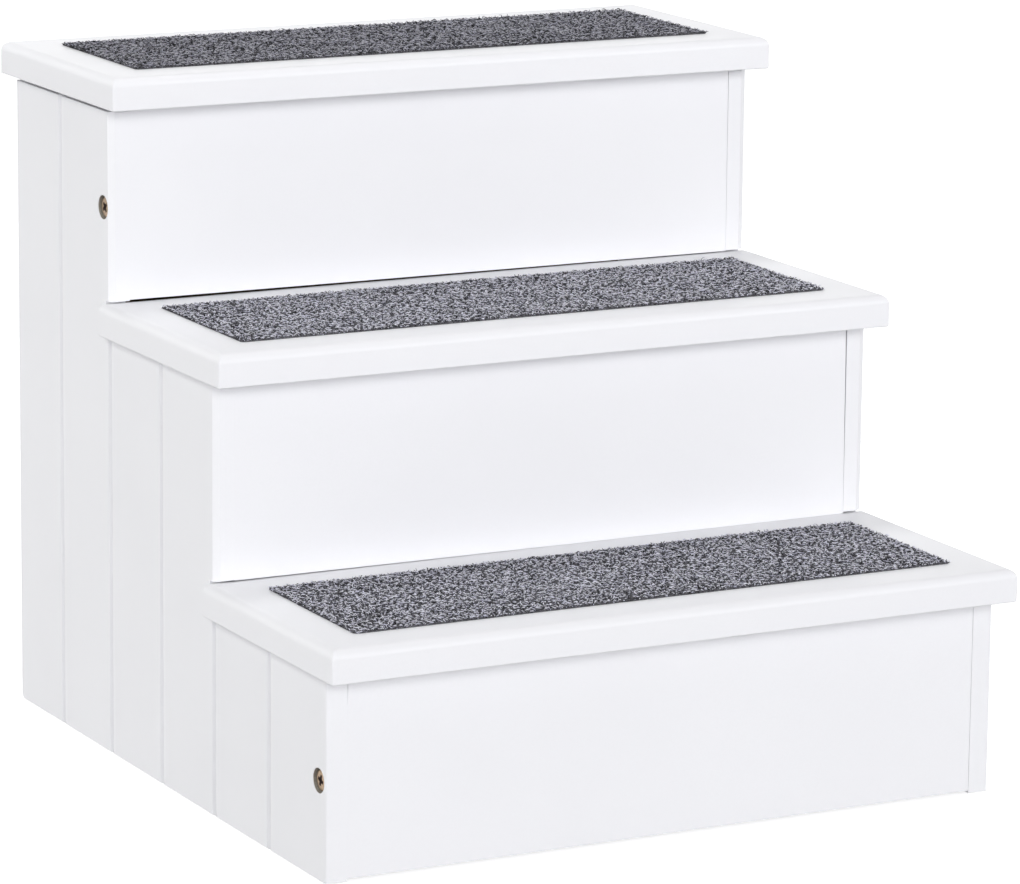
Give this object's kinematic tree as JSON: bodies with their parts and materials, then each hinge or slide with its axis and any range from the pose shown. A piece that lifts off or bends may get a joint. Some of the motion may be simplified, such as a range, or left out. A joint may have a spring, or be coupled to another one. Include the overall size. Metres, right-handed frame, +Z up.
{
  "type": "pet stairs",
  "caption": "Pet stairs in white lacquered board with grooved stepped sides, overhanging rounded treads, plain risers, a thin back board and grey carpet strips.",
  "frame": {"origin": "on the floor, under the middle of the stair's outer box", "axes": "+X to the right as seen from in front, +Y from the lowest step to the back, +Z up"},
  "size_m": [0.41, 0.435, 0.3835],
  "materials": {
    "lacquered_board": "white satin lacquer on fibreboard",
    "carpet": "short curly needle-felt pile, salt and pepper grey",
    "bare_wood": "planed, bare",
    "hardboard": "thin hardboard, painted white on its outer face, bare brown inside",
    "yellow_zinc": "yellow zinc plated steel",
    "bright_zinc": "bright zinc plated"
  },
  "bodies": {
    "root": {"side_panel_left": "lacquered_board", "side_panel_right": "lacquered_board", "riser_bottom": "lacquered_board", "riser_middle": "lacquered_board", "riser_top": "lacquered_board", "tread_bottom": "lacquered_board", "tread_middle": "lacquered_board", "tread_top": "lacquered_board", "carpet_bottom": "carpet", "carpet_middle": "carpet", "carpet_top": "carpet", "back_rail_upper": "lacquered_board", "back_rail_lower": "lacquered_board", "back_board": "hardboard", "cleat_bottom_left": "bare_wood", "cleat_bottom_right": "bare_wood", "cleat_middle_left": "bare_wood", "cleat_middle_right": "bare_wood", "cleat_top_left": "bare_wood", "cleat_top_right": "bare_wood", "connecting_bolts": "yellow_zinc", "barrel_nuts": "bright_zinc", "cam_locks": "bright_zinc", "cam_bolts": "bright_zinc", "dowels": "bare_wood", "tread_screws": "bright_zinc", "cleat_screws": "bright_zinc", "board_pins": "bright_zinc"}
  },
  "joints": []
}
